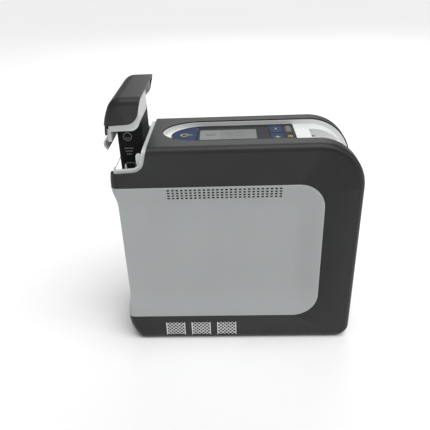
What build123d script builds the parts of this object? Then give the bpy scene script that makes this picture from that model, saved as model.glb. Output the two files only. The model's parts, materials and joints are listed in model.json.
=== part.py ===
from build123d import *
import math
import os

# Portable oxygen concentrator with a slide-out battery at its left end.
# Millimetres. +X to the right, +Y to the rear, +Z up; the origin is under the middle of the unit.

# Housing
HALF_W = 124.5            # half of the 249 mm width
HALF_D = 48.5             # half of the 97 mm depth
TOP = 235.0
BASE = 0.8                # the housing floor; the rubber feet reach z = 0
EDGE_R = 7.0              # rounding of the front and rear outlines
WALL = 2.4
CORNER_TR = 47.5          # big upper right corner
CORNER_BR = 14.0
LEAN_R = 70.0             # slow inward lean of the upper left end
LEAN_Z = 196.0
LEAN_DEG = 26.0
TUCK_R = 48.0             # inward curve of the lower left end, from TUCK_Z to the floor
TUCK_Z = 32.0
WAIST = 4.4               # how far the left end and both faces draw in behind the panels
PANEL_Z0 = 33.5
PANEL_Z1 = 194.5
PANEL_X1 = 86.6
PANEL_R_TOP = 26.0
PANEL_R_BOT = 27.0
DISH = 4.2
DISH_STEPS = 16
SEAM = 0.15               # half of the seam between two covers

# Battery and its bay
LIFT = 48.5               # how far the battery stands out of its bay at rest
BAT_X0 = -116.2
BAT_X1 = -91.2
BAT_HY = 25.0
BAT_Z0 = 36.0
BAT_Z1 = 205.0
SEAT_Z = 198.0            # underside of the bezel plate round the battery
CAP_SKIN = 2.0
BEZEL_OUT = 2.5           # how far the bezel and the liner lie under the cap's surface
BEZEL_IN = 4.1
LINER_OUT = 4.4
LINER_IN = 5.8
NOTCH_R = 13.0
TONGUE_HY = 37.5
TONGUE_Z = 197.2
PIN_X = -121.6            # latch pin, seated position of the battery
PIN_Z = 193.6

# Control fascia
FASCIA_TIP = -73.5
FASCIA_HY = 29.4
FASCIA_ROUND = 38.0       # length of its half-elliptical end
FASCIA_RIM = 1.4          # the rim lies this far under the housing's surface
FASCIA_DEPTH = 5.8
FASCIA_FLOOR = 7.6
FASCIA_END_Z = 140.0
OVERLAY_Z = TOP - FASCIA_DEPTH
OVERLAY_T = 0.8
OVERLAY_X0 = -65.6
OVERLAY_X1 = 60.4
OVERLAY_HY = 27.0
OVERLAY_ROUND = 32.8      # length of its half-elliptical end
POWER_X1 = -39.3          # right edge of the power key
POWER_BORDER = 1.6
STEP_X = 41.8             # middle of the plus and minus keys
STEP_Y = 12.1
STEP_W = 13.6
STEP_L = 23.0
KEY_GAP = 0.35
KEY_FREE = 0.3            # free travel under each key
WELL_X0 = 75.5
WELL_HY = 12.0
WELL_Z = 216.0
NOZZLE_R = 3.0
NOZZLE_LEN = 5.5
COLLAR_R = 3.4            # collar of the outlet in the wall of its well
NOZZLE_Z = 223.6

# Openings
VENT_X0 = -67.7
VENT_PITCH = 4.42
VENT_COLS = 26
VENT_ROWS = 4
VENT_Z0 = 190.8
VENT_DZ = 3.2
VENT_W = 2.6
VENT_H = 1.9
GRILLE_X = (-71.9, -42.8, -13.6)
GRILLE_Z = 15.2
GRILLE_W = 21.6
GRILLE_H = 18.8
MESH_PITCH = 4.2          # across the window; the diamonds of alternate rows are staggered
MESH_ROW = 2.2
MESH_ROWS = 9
MESH_HOLE = 2.1

LCD_X = -7.5
LCD_W = 57.6
LCD_H = 28.0
BOARD_Z = 219.0           # underside of the display board
DC_X = 92.0               # power inlet, low on the rear face
DC_Z = 17.0
DC_R = 5.5
SCREWS = ((-98, 14), (40, 14), (116.5, 40), (116.5, 122), (62, 210), (-70, 210))
FEET = ((-92, -34), (-92, 34), (98, -34), (98, 34))

# Inside
CRANK_Z = 62.0            # crankshaft axis, along X
CYL_X = 6.0               # the two cylinders lie along Y here
BORE_R = 12.0
SHAFT_R = 4.0
THROW = 3.5               # crank radius
RUN = 0.05                # running clearance of shafts and pistons
MOTOR_X0 = 24.0
MOTOR_X1 = 61.0
DECK_Z = 28.0             # top of the chassis plate
FAN_X = -45.0
FAN_SIZE = 60.0
FAN_T = 15.0
BLADES = 7
COLUMN_X = 93.5
COLUMN_Y = 18.4
COLUMN_R = 16.5
COLUMN_Z0 = 40.0
COLUMN_Z1 = 176.0
TANK = (0.0, 60.0, 16.0, 118.0, 17.0)      # x0, x1, y, z, radius
CELL_R = 10.4
CELL_LEN = 70.2

XZ = Plane.XZ             # its normal points to -Y


def depth_extrude(face, y0, y1):
    """Extrude a face drawn on the XZ plane from y0 to y1."""
    return Pos(0, y0, 0) * extrude(face, amount=-(y1 - y0))


def block(x0, x1, y0, y1, z0, z1):
    """Box between two corners."""
    centre = Pos((x0 + x1) / 2, (y0 + y1) / 2, (z0 + z1) / 2)
    return centre * Box(x1 - x0, y1 - y0, z1 - z0)


def rod(radius, start, end):
    """Cylinder between two points."""
    start, end = Vector(*start), Vector(*end)
    span = end - start
    plane = Plane(origin=start, z_dir=span)
    return extrude(plane * Circle(radius), amount=span.length)


def tube(outer, inner, start, end):
    return rod(outer, start, end) - rod(inner, start, end)


def soft_block(x0, x1, y0, y1, z0, z1, radius):
    """Box with rounded vertical edges."""
    body = block(x0, x1, y0, y1, z0, z1)
    return fillet(body.edges().filter_by(Axis.Z), radius)


def outline():
    """Side view of the housing, with the waist at its left end."""
    lean = math.radians(LEAN_DEG)
    top_r = (TOP - LEAN_Z - LEAN_R * math.sin(lean)) / (1 - math.sin(lean))
    top_x = -HALF_W + LEAN_R - (LEAN_R - top_r) * math.cos(lean)
    waist_top, waist_low = 26.0, 34.0

    def s_bend(start, height, step, first_turn):
        """Two equal arcs that shift a downward line sideways by step."""
        radius = ((height / 2) ** 2 + (step / 2) ** 2) / step
        angle = math.degrees(2 * math.atan((step / 2) / (height / 2)))
        one = JernArc(start, (0, -1), radius, first_turn * angle)
        two = JernArc(one @ 1, one % 1, radius, -first_turn * angle)
        return [one, two]

    with BuildLine() as side:
        floor = Line((-105, BASE), (HALF_W - CORNER_BR, BASE))
        low = JernArc(floor @ 1, (1, 0), CORNER_BR, 90)
        right = Line(low @ 1, (HALF_W, TOP - CORNER_TR))
        big = JernArc(right @ 1, (0, 1), CORNER_TR, 90)
        top = Line(big @ 1, (top_x, TOP))
        shoulder = JernArc(top @ 1, (-1, 0), top_r, 90 - LEAN_DEG)
        leaning = JernArc(shoulder @ 1, shoulder % 1, LEAN_R, LEAN_DEG)
        into = s_bend(leaning @ 1, waist_top, WAIST, 1)
        straight = Line(into[1] @ 1, (-HALF_W + WAIST, TUCK_Z + waist_low))
        out = s_bend(straight @ 1, waist_low, WAIST, -1)
        tuck = JernArc(out[1] @ 1, (0, -1), TUCK_R, math.degrees(math.asin((TUCK_Z - BASE) / TUCK_R)))
        Line(tuck @ 1, floor @ 0)
    return XZ * make_face(side.edges())


def plain_body(inset=0.0):
    """The housing block, drawn in by inset on every side, with rounded front and rear edges."""
    face = OUTLINE if inset == 0 else offset(OUTLINE, amount=-inset)
    half = HALF_D - inset
    body = depth_extrude(face, -half, half)
    radius = max(EDGE_R - inset, 0.8)
    rim = body.edges().filter_by(lambda e: abs(abs(e.center().Y) - half) < 0.01)
    return fillet(rim, radius)


def panel_face(grow=0.0, top=0.0, low=0.0, right=0.0, r_top=PANEL_R_TOP, r_low=PANEL_R_BOT):
    """Outline of the light panels; it runs out past the left end."""
    x0, x1 = -160.0, PANEL_X1 + grow - right
    z0, z1 = PANEL_Z0 - grow + low, PANEL_Z1 + grow - top
    with BuildLine() as edge:
        a = Line((x0, z0), (x1 - r_low, z0))
        b = JernArc(a @ 1, (1, 0), r_low, 90)
        c = Line(b @ 1, (x1, z1 - r_top))
        d = JernArc(c @ 1, (0, 1), r_top, 90)
        e = Line(d @ 1, (x0, z1))
        Line(e @ 1, a @ 0)
    return make_face(edge.edges())


def dish_cutter():
    """Shallow dish over the front panel, with soft sloping margins."""
    sections = []
    for k in range(DISH_STEPS + 1):
        t = k / DISH_STEPS
        depth = DISH * (3 * t * t - 2 * t ** 3)
        shape = panel_face(0, 24 * t, 32 * t, 28 * t, PANEL_R_TOP - 10 * t, PANEL_R_BOT - 10 * t)
        sections.append(Pos(0, -HALF_D + depth, 0) * (XZ * shape))
    dish = loft(sections, ruled=True)
    return dish + depth_extrude(XZ * panel_face(), -HALF_D - 12, -HALF_D)


def notch_face(shift=0.0):
    """Side view of the battery's part of the housing; shift moves its edge towards the battery."""
    corner = (-91.5, 210.6)
    up = (-91.5 + 90 * math.cos(math.radians(75.5)), 210.6 + 90 * math.sin(math.radians(75.5)))
    with BuildLine() as edge:
        path = FilletPolyline((-170, 207.0), corner, up, radius=NOTCH_R)
        Polyline(path @ 1, (-170, up[1]), (-170, 207.0))
    face = XZ * make_face(edge.edges())
    return face if shift == 0 else offset(face, amount=-shift, kind=Kind.INTERSECTION)


def notch(shift=0.0, half=60.0):
    return depth_extrude(notch_face(shift), -half, half)


def tongue_box(clear=0.0):
    """Space of the cap's tongue and its latch in the left end."""
    low = TONGUE_Z - 18.0 if clear else TONGUE_Z
    return block(-140, -118.6, -TONGUE_HY - clear, TONGUE_HY + clear, low, 214)


def fascia_zone(grow=0.0):
    """Plan of the fascia swept over the top, the big corner and part of the right end."""
    half, tip = FASCIA_HY + grow, FASCIA_TIP - grow
    long = FASCIA_ROUND + grow
    plan = Pos(tip + long, 0) * Ellipse(long, half)
    plan += Pos((tip + long + 150) / 2, 0) * Rectangle(150 - tip - long, 2 * half)
    low = FASCIA_END_Z - grow
    side = Pos(0, low + long) * Ellipse(half, long)
    side += Pos(0, (low + long + 300) / 2) * Rectangle(2 * half, 300 - low - long)
    over = extrude(Pos(0, 0, 100) * plan, amount=160)
    across = extrude(Plane.YZ * side, amount=150, both=True)
    return over & across


def vent_holes(y0, y1):
    """Field of small rectangular holes."""
    xs = [VENT_X0 + k * VENT_PITCH for k in range(VENT_COLS)]
    zs = [VENT_Z0 - k * VENT_DZ for k in range(VENT_ROWS)]
    cells = [Pos(x, z) * RectangleRounded(VENT_W, VENT_H, 0.5) for x in xs for z in zs]
    holes = [depth_extrude(XZ * cell, y0, y1) for cell in cells]
    return Compound(children=holes)


def grille_pockets(y0, y1, grow=0.0):
    shapes = []
    for x in GRILLE_X:
        face = Pos(x, GRILLE_Z) * RectangleRounded(GRILLE_W + grow, GRILLE_H + grow, 0.8)
        shapes.append(depth_extrude(XZ * face, y0, y1))
    return shapes


OUTLINE = outline()
SOLID = plain_body()
DEPTHS = (FASCIA_RIM, CAP_SKIN, WALL, BEZEL_OUT, BEZEL_IN, LINER_OUT, LINER_IN, FASCIA_FLOOR)
INSET = {depth: plain_body(depth) for depth in DEPTHS}
FRONT_DISH = dish_cutter()
DISHED = SOLID - FRONT_DISH - mirror(FRONT_DISH, Plane.XZ)
ZONE_IN = depth_extrude(XZ * panel_face(-SEAM), -60, 60)
ZONE_OUT = depth_extrude(XZ * panel_face(SEAM), -60, 60)
ZONE_LEDGE = depth_extrude(XZ * panel_face(3.0), -60, 60)


def halves(body, gap=SEAM):
    """Cut a shell into its front and rear halves."""
    front = body & block(-200, 200, -100, -gap, -50, 400)
    rear = body & block(-200, 200, gap, 100, -50, 400)
    return front, rear


def panels():
    """Light side panels, wrapped round the left end and split there."""
    skin = (DISHED & ZONE_IN) - block(-118.0, 200, -42.0, 42.0, 0, 240)
    skin -= tongue_box(0.4)
    front, rear = halves(skin)
    return front - vent_holes(-60, -30), rear - vent_holes(30, 60)


def shells():
    """Dark front and rear housings with the seat behind each panel."""
    body = DISHED - (ZONE_OUT - block(-117.8, 200, -41.8, 41.8, 0, 240))
    body -= INSET[WALL] - (ZONE_LEDGE - block(-115.9, 200, -39.4, 39.4, 0, 240))
    body += (fascia_zone(2.4) & INSET[CAP_SKIN]) - INSET[FASCIA_FLOOR]
    body -= fascia_zone(SEAM)
    body -= notch()
    body -= tongue_box(0.4)
    body -= block(-118.2, -100, -28.2, 28.2, 26, 200) + block(-140, -116, -28.2, 28.2, 175, 200)
    middle = VENT_X0 + (VENT_COLS - 1) * VENT_PITCH / 2
    body -= block(middle - 58, middle + 58, -41.9, 41.9, 179.2, 192.8)
    for pocket in grille_pockets(-60, 60, 0.3):
        body -= pocket
    body -= rod(DC_R + 0.1, (DC_X, 30, DC_Z), (DC_X, 60, DC_Z))
    for x, z in SCREWS:
        body += rod(4.6, (x, -46.5, z), (x, 46.5, z)) & INSET[CAP_SKIN]
        body -= rod(3.2, (x, 44.0, z), (x, 60, z))
        body -= rod(1.3, (x, -30, z), (x, 44.5, z))
    for x, y in FEET:
        body -= rod(7.1, (x, y, -1), (x, y, BASE + 1.0))
    front, rear = halves(body, 0.05)
    return front, rear


def fascia():
    """Light tray that carries the keypad, with the outlet's well at its right."""
    tray = (fascia_zone() & INSET[FASCIA_RIM]) - INSET[FASCIA_FLOOR]
    tray -= fascia_zone(-1.3) & (SOLID - INSET[FASCIA_DEPTH])
    well = block(WELL_X0 - 1.5, 130, -WELL_HY - 1.5, WELL_HY + 1.5, WELL_Z - 1.5, 240) & INSET[FASCIA_DEPTH]
    well_space = block(WELL_X0, 140, -WELL_HY, WELL_HY, WELL_Z, 260)
    body = tray + well - well_space
    body -= rod(COLLAR_R + 0.02, (WELL_X0 - 5, 0, NOZZLE_Z), (WELL_X0 + 5, 0, NOZZLE_Z))
    body -= block(OVERLAY_X0 + 6, OVERLAY_X1 - 4, -17, 17, OVERLAY_Z - 3, OVERLAY_Z + 1)
    return body


def overlay_face(shrink=0.0):
    """Plan of the keypad overlay: half ellipse at the left, square corners at the right."""
    long, half = OVERLAY_ROUND - shrink, OVERLAY_HY - shrink
    root, end = OVERLAY_X0 + OVERLAY_ROUND, OVERLAY_X1 - shrink
    with BuildLine() as edge:
        bow = EllipticalCenterArc((root, 0), long, half, 90, arc_size=180)
        FilletPolyline(bow @ 1, (end, -half), (end, half), bow @ 0, radius=2.0)
    return make_face(edge.edges())


def key_faces(grow=0.0):
    """Plans of the power, plus and minus keys."""
    power = overlay_face(POWER_BORDER - grow) & Pos(POWER_X1 - 33 + grow, 0) * Rectangle(66, 80)
    step = RectangleRounded(STEP_W + 2 * grow, STEP_L + 2 * grow, 1.2)
    plus, minus = Pos(STEP_X, -STEP_Y) * step, Pos(STEP_X, STEP_Y) * step
    return {"power_button": power, "plus_button": plus, "minus_button": minus}


def keypad():
    """Overlay with cut-outs for the display and keys, and the keys themselves."""
    plate = extrude(Pos(0, 0, OVERLAY_Z) * overlay_face(), amount=OVERLAY_T)
    lcd = Pos(LCD_X, 0) * RectangleRounded(LCD_W, LCD_H, 1.0)
    plate -= extrude(Pos(0, 0, OVERLAY_Z - 1) * offset(lcd, amount=0.1), amount=3)
    for face in key_faces(KEY_GAP).values():
        plate -= extrude(Pos(0, 0, OVERLAY_Z - 1) * face, amount=3)
    keys = {}
    for name, face in key_faces().items():
        cap = extrude(Pos(0, 0, OVERLAY_Z + KEY_FREE) * face, amount=OVERLAY_T)
        centre = face.center()
        foot = BOARD_Z + 2.4 + KEY_FREE
        stem = block(centre.X - 4, centre.X + 4, centre.Y - 3, centre.Y + 3, foot, OVERLAY_Z + 0.4)
        keys[name] = cap + stem
    window = extrude(Pos(0, 0, OVERLAY_Z - 0.2) * lcd, amount=OVERLAY_T + 0.1)
    return plate, window, keys


def outlet():
    """Outlet spigot in the left wall of the well, and the filter behind it."""
    start = (WELL_X0 - 6, 0, NOZZLE_Z)
    tip = (WELL_X0 + NOZZLE_LEN, 0, NOZZLE_Z)
    spigot = rod(NOZZLE_R, start, tip)
    spigot += rod(COLLAR_R, (WELL_X0 - 4.5, 0, NOZZLE_Z), (WELL_X0, 0, NOZZLE_Z))
    spigot += rod(3.7, (WELL_X0 - 4.5, 0, NOZZLE_Z), (WELL_X0 - 1.52, 0, NOZZLE_Z))
    spigot -= rod(1.6, (WELL_X0 - 7, 0, NOZZLE_Z), (WELL_X0 + NOZZLE_LEN + 1, 0, NOZZLE_Z))
    holder = tube(3.75, 3.02, (WELL_X0 - 13, 0, NOZZLE_Z), (WELL_X0 - 4.6, 0, NOZZLE_Z))
    return spigot, holder


def bay():
    """White bezel round the battery's seat, its dark sleeve and the contacts in its floor."""
    skin = INSET[BEZEL_OUT] - INSET[BEZEL_IN]
    band = notch(-4.0) - notch(4.0)
    skirt = block(-119.9, -86.0, -60, 60, SEAT_Z, 210.0)
    bezel = skin & (band + skirt)
    bezel += block(-88.3, -86.0, -44.6, 44.6, SEAT_Z, 240.0) & INSET[BEZEL_OUT]
    bezel -= block(-140, -119.9, -44.5, 44.5, 150, 240) + block(-140, -118.4, -37.4, 37.4, 150, 240)
    bezel += block(-117.9, -86.0, -44.6, 44.6, SEAT_Z, SEAT_Z + 2.5)
    bezel -= block(BAT_X0 - 0.4, BAT_X1 + 0.3, -25.4, 25.4, 190, 203)
    groove = (notch(1.5) - notch(2.4)) & block(-140, -80, -60, 60, 200, 240)
    bezel -= groove - block(-140, -80, -45.3, 45.3, 200, 240)
    for side in (-1, 1):
        tab = Pos(-94.2, 213.4) * RectangleRounded(5.4, 28.8, 2.6)
        fin = Polygon((-109.6, 199.0), (-105.6, 199.0), (-107.0, 217.0), (-108.0, 217.0), align=None)
        near, far = sorted((side * 40.2, side * 42.2))
        bezel += depth_extrude(XZ * tab, near, far)
        bezel += depth_extrude(XZ * fin, near, far)
    sleeve = soft_block(BAT_X0 - 1.4, BAT_X1 + 1.6, -26.8, 26.8, 30.0, SEAT_Z - 0.1, 2.5)
    sleeve -= soft_block(BAT_X0 - 0.4, BAT_X1 + 0.3, -25.4, 25.4, 33.4, 200, 1.4)
    sleeve -= block(-111.4, -94.4, -11.4, 11.4, 29, 34)
    plug = block(-111, -94.8, -11, 11, 24.0, 35.0)
    for k in range(5):
        y = -8.0 + 4.0 * k
        plug += block(-104.4, -101.4, y - 0.6, y + 0.6, 35.0, 41.0)
    return bezel, sleeve, plug


def battery():
    """Battery case, its cells and board, in the seated position."""
    case = soft_block(BAT_X0, BAT_X1, -BAT_HY, BAT_HY, BAT_Z0, BAT_Z1, 4.0)
    inner = soft_block(BAT_X0 + 1.1, BAT_X1 - 1.1, -23.6, 23.6, BAT_Z0 + 9.0, BAT_Z1 + 1, 3.0)
    case -= inner
    for k in range(5):
        y = -8.0 + 4.0 * k
        case -= block(-105.0, -100.8, y - 1.1, y + 1.1, BAT_Z0 - 1, BAT_Z0 + 8.2)
    middle = (BAT_X0 + BAT_X1) / 2
    cells = []
    for layer in range(2):
        low = BAT_Z0 + 9.6 + layer * (CELL_LEN + 1.0)
        for side in (-1, 1):
            y, neck = side * 11.6, low + CELL_LEN - 0.8
            can = rod(CELL_R, (middle, y, low), (middle, y, neck))
            cells.append(can + rod(3.5, (middle, y, neck), (middle, y, low + CELL_LEN)))
    board = block(middle - 9, middle + 9, -21, 21, BAT_Z1 - 10, BAT_Z1 - 8.4)
    for side in (-1, 1):
        board += block(middle - 6, middle + 6, side * 10 - 4, side * 10 + 4, BAT_Z1 - 8.4, BAT_Z1 - 5.4)
    lid = block(BAT_X0 + 0.2, BAT_X1 - 0.2, -24.4, 24.4, BAT_Z1, BAT_Z1 + 2.4)
    lid += block(middle + 0.5, middle + 9.5, -20, 20, BAT_Z1 + 2.4, 229.2)
    lid -= block(middle + 2.5, middle + 7.5, -18, 18, BAT_Z1 - 1, 227.0)
    return case, Compound(children=cells), board, lid


def cap():
    """Dark cap shell over the battery and the light liner inside it, seated."""
    reach = notch(0.4) + block(-140, -118.6, -TONGUE_HY, TONGUE_HY, TONGUE_Z, 214)
    shell = (SOLID - INSET[CAP_SKIN]) & reach
    shell += rod(1.3, (-124.1, -33, TONGUE_Z + 1.3), (-124.1, 33, TONGUE_Z + 1.3))
    with BuildLine() as edge:
        path = FilletPolyline((-140, 203.2), (-89.2, 203.2), (-89.2, 260), radius=9.0)
        Polyline(path @ 1, (-140, 260), (-140, 203.2))
    side = depth_extrude(XZ * make_face(edge.edges()), -60, 60)
    liner = (INSET[LINER_OUT] - INSET[LINER_IN]) & side
    liner -= block(-140, -60, 8, 60, 150, 300) - notch(0.8)
    wall = block(-90.6, -89.2, -42.9, 8.0, 203.2, 229.4)
    wall -= block(-92, -88, 0.0, 9.0, 200, 211.2) - rod(8.0, (-93, 0.0, 211.2), (-87, 0.0, 211.2))
    liner += wall & side
    pad = block(-112.5, -92.0, -38, 38, 229.2, 240) & INSET[CAP_SKIN]
    liner += pad
    tongue = block(-120.1, -118.9, -36.3, 36.3, PIN_Z + 3.0, 208.0)
    for s in (-1, 1):
        near, far = sorted((s * 33.2, s * 36.3))
        tongue += block(-123.6, -118.9, near, far, PIN_Z - 3.2, 203.0) & INSET[CAP_SKIN]
    tongue -= rod(1.2, (PIN_X, -40, PIN_Z), (PIN_X, 40, PIN_Z))
    return shell, liner + tongue


def latch():
    """Sprung release bar under the cap's tongue, and its pin."""
    bar = rod(2.5, (PIN_X, -32.8, PIN_Z), (PIN_X, 32.8, PIN_Z))
    centre = (-121.2, 186.6)
    with BuildLine() as blade:
        outer = CenterArc(centre, 7.0, 104, 136)
        inner = CenterArc(centre, 5.3, 104, 136)
        Line(outer @ 0, inner @ 0)
        Line(outer @ 1, inner @ 1)
    bar += depth_extrude(XZ * make_face(blade.edges()), -32.8, 32.8)
    bar -= rod(1.25, (PIN_X, -40, PIN_Z), (PIN_X, 40, PIN_Z))
    pin = rod(1.2, (PIN_X, -36.3, PIN_Z), (PIN_X, 36.3, PIN_Z))
    return bar, pin


def route(radius, bend, *points):
    """Round tube along straight runs joined by arcs."""
    path = FilletPolyline(*points, radius=bend)
    start = Plane(origin=path @ 0, z_dir=path % 0)
    return sweep(start * Circle(radius), path=path)


def chassis():
    """Moulded tray under the works, on posts that stand on the housing floor."""
    tray = block(-80, 112, -36, 36, DECK_Z - 2, DECK_Z)
    tray += block(-80, 74, -36, -34, DECK_Z, DECK_Z + 5) + block(-80, 74, 34, 36, DECK_Z, DECK_Z + 5)
    tray -= rod(27.5, (FAN_X, 0, 0), (FAN_X, 0, 40))
    tray -= rod(4.0, (68, 30, 0), (68, 30, 60))
    for x in (-76, -6, 50, 108):
        for y in (-30, 30):
            tray += rod(3.0, (x, y, BASE + WALL), (x, y, DECK_Z - 1))
    return tray


def compressor():
    """Two-cylinder piston compressor with its motor."""
    z, x = CRANK_Z, CYL_X
    case = soft_block(x - 15, x + 14, -15, 15, z - 17, z + 17, 3.0)
    case -= rod(13.2, (x - 11, 0, z), (x + 10.5, 0, z))
    case -= rod(BORE_R + RUN, (x, -20, z), (x, 20, z))
    case -= rod(SHAFT_R + RUN, (x, 0, z), (x + 20, 0, z))
    case += block(x - 15, x + 14, -24, 24, z - 21, z - 17)
    heads = []
    for side in (-1, 1):
        barrel = tube(15.0, BORE_R + RUN, (x, side * 15, z), (x, side * 33, z))
        barrel += rod(15.0, (x, side * 33, z), (x, side * 37, z))
        for k in range(5):
            y = side * (17.5 + 3.6 * k)
            fin = rod(16.8, (x, y - 0.7, z), (x, y + 0.7, z))
            barrel += fin - rod(14.5, (x, y - 1, z), (x, y + 1, z))
        heads.append(barrel)
    pistons = []
    for side in (-1, 1):
        piston = rod(BORE_R, (x, side * 19, z), (x, side * 27, z))
        piston += rod(2.4, (x, side * 10.4, z), (x, side * 19, z))
        pistons.append(piston)
    can = tube(21.0, 18.6, (MOTOR_X0, 0, z), (MOTOR_X1, 0, z))
    for a, b in ((MOTOR_X0, MOTOR_X0 + 2), (MOTOR_X1 - 2, MOTOR_X1)):
        can += tube(19.0, SHAFT_R + RUN, (a, 0, z), (b, 0, z))
    can += tube(9.0, SHAFT_R + RUN, (x + 14, 0, z), (MOTOR_X0 + 0.5, 0, z))
    rotor = rod(SHAFT_R, (x + 5, 0, z), (MOTOR_X1 + 2, 0, z))
    rotor += rod(15.5, (MOTOR_X0 + 6, 0, z), (MOTOR_X1 - 6, 0, z))
    rotor += rod(9.0, (x + 5, 0, z), (x + 8.5, 0, z))
    rotor += rod(2.4, (x - 4, 0, z + THROW), (x + 6, 0, z + THROW))
    feet = [rod(4.0, (x + dx, dy, DECK_Z), (x + dx, dy, z - 21)) for dx in (-9, 9) for dy in (-19, 19)]
    return case, heads, pistons, can, rotor, Compound(children=feet)


def fan():
    """Axial fan over the hole in the tray; it blows down into the outlet space."""
    low, high, half = DECK_Z, DECK_Z + FAN_T, FAN_SIZE / 2
    frame = soft_block(FAN_X - half, FAN_X + half, -half, half, low, high, 4.0)
    frame -= rod(27.5, (FAN_X, 0, low - 1), (FAN_X, 0, high + 1))
    for k in range(4):
        arm = Pos(FAN_X, 0, low + 1.2) * Rot(0, 0, 45 + 90 * k) * Pos(17, 0, 0) * Box(22.5, 3.2, 2.4)
        frame += arm
    frame += rod(8.0, (FAN_X, 0, low), (FAN_X, 0, low + 2.4))
    frame -= rod(1.5 + RUN, (FAN_X, 0, low - 1), (FAN_X, 0, low + 3))
    wheel = rod(11.0, (FAN_X, 0, low + 3.2), (FAN_X, 0, high - 1))
    wheel += rod(1.5, (FAN_X, 0, low + 0.2), (FAN_X, 0, low + 4))
    for k in range(BLADES):
        turn = Pos(FAN_X, 0, (low + high) / 2 + 1) * Rot(0, 0, 360 * k / BLADES)
        wheel += turn * Pos(18.0, 0, 0) * Rot(32, 0, 0) * Box(16.5, 12.0, 1.4)
    return frame, wheel


def columns():
    """Twin sieve columns with their beds and the two heads that join them."""
    sides = (-COLUMN_Y, COLUMN_Y)
    cans = [tube(COLUMN_R, 15.3, (COLUMN_X, y, COLUMN_Z0), (COLUMN_X, y, COLUMN_Z1)) for y in sides]
    beds = [rod(15.2, (COLUMN_X, y, COLUMN_Z0 + 1), (COLUMN_X, y, COLUMN_Z1 - 1)) for y in sides]
    low = soft_block(COLUMN_X - 17.5, COLUMN_X + 17.5, -36, 36, DECK_Z, COLUMN_Z0, 6.0)
    high = soft_block(COLUMN_X - 17.5, COLUMN_X + 17.5, -36, 36, COLUMN_Z1, COLUMN_Z1 + 12, 6.0)
    return cans, Compound(children=beds), low, high


def gas_parts():
    """Tank, valves, mufflers, sensor, cooler and the tubes between them."""
    x0, x1, y, z, r = TANK
    tank = rod(r, (x0, y, z), (x1, y, z))
    tank = fillet(tank.edges(), 4.0)
    manifold = block(10, 66, -34, -14, 96, 112)
    valves = []
    for k in range(4):
        x = 17 + 14 * k
        valves.append(rod(6.0, (x, -24, 112), (x, -24, 134)) + rod(2.5, (x, -24, 134), (x, -24, 138)))
    intake = soft_block(-80, -20, -32, 0, 62, 100, 6.0)
    exhaust = soft_block(-80, -20, 4, 31, 62, 92, 6.0)
    sensor = soft_block(14, 40, -31, -11, 150, 166, 3.0)
    ys = (-22, -11, 0, 11, 22)
    turns = []
    for k, y_run in enumerate(ys):
        ends = (-72, -18) if k % 2 == 0 else (-18, -72)
        turns += [(ends[0], y_run, 52), (ends[1], y_run, 52)]
    cooler = route(3.0, 5.4, *turns)
    lines = [
        route(2.8, 4.5, (COLUMN_X - 17.5, 16, 182), (69.5, 16, 182), (69.5, 16, z), (x1, 16, z)),
        route(2.8, 6.0, (x0, 16, z), (-9, 16, z), (-9, 16, 158), (-9, -21, 158), (14, -21, 158)),
        route(2.8, 6.0, (40, -21, 158), (52, -21, 158), (52, -21, 202), (52, 0, 202), (52, 0, NOZZLE_Z),
              (WELL_X0 - 13, 0, NOZZLE_Z)),
    ]
    valves, lines = Compound(children=valves), Compound(children=lines)
    return tank, manifold, valves, intake, exhaust, sensor, cooler, lines


def filters():
    """Foam intake filters behind the perforations, front and rear."""
    middle = VENT_X0 + (VENT_COLS - 1) * VENT_PITCH / 2
    x0, x1 = middle - 57.6, middle + 57.6
    pads = [block(x0, x1, a, b, 179.6, 192.4) for a, b in ((-41.7, -37.0), (37.0, 41.7))]
    return Compound(children=pads)


def electronics():
    """Main board, display board, display, sounder, inlet and leads."""
    board = block(-80, 72, 34.2, 35.8, 100, 172)
    items = ((-79, -71, 104, 116, 7), (-60, -40, 125, 145, 3), (-30, -12, 130, 160, 9),
             (-22, -8, 104, 112, 7), (20, 50, 140, 160, 2.5), (62, 71, 104, 112, 7))
    for x0, x1, z0, z1, tall in items:
        board += block(x0, x1, 34.2 - tall, 34.2, z0, z1)
    panel = block(-63, 47.5, -18, 18, BOARD_Z, BOARD_Z + 1.6)
    for key in key_faces().values():
        c = key.center()
        panel += block(c.X - 3, c.X + 3, c.Y - 3, c.Y + 3, BOARD_Z + 1.6, BOARD_Z + 2.4)
    display = block(LCD_X - 29.4, LCD_X + 29.4, -14.6, 14.6, BOARD_Z + 1.6, OVERLAY_Z - 0.2)
    sounder = rod(5.0, (27.5, 0, BOARD_Z + 1.6), (27.5, 0, BOARD_Z + 5.6))
    inlet = rod(DC_R, (DC_X, 36, DC_Z), (DC_X, 47.8, DC_Z)) - rod(3.2, (DC_X, 38, DC_Z), (DC_X, 50, DC_Z))
    inlet += rod(1.0, (DC_X, 37, DC_Z), (DC_X, 46, DC_Z))
    leads = [
        route(1.6, 5.0, (-94.8, 0, 27), (-85, 0, 27), (-85, 0, 56), (-85, 31, 56), (-85, 31, 110),
              (-79, 31, 110)),
        route(1.6, 5.0, (30, 0, CRANK_Z + 21), (30, 0, 91), (-15, 0, 91), (-15, 30.5, 91),
              (-15, 30.5, 104)),
        route(1.6, 5.0, (DC_X, 36, DC_Z), (DC_X, 30, DC_Z), (68, 30, DC_Z), (68, 30, 104)),
    ]
    return board, panel, display, sounder, inlet, Compound(children=leads)


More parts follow.
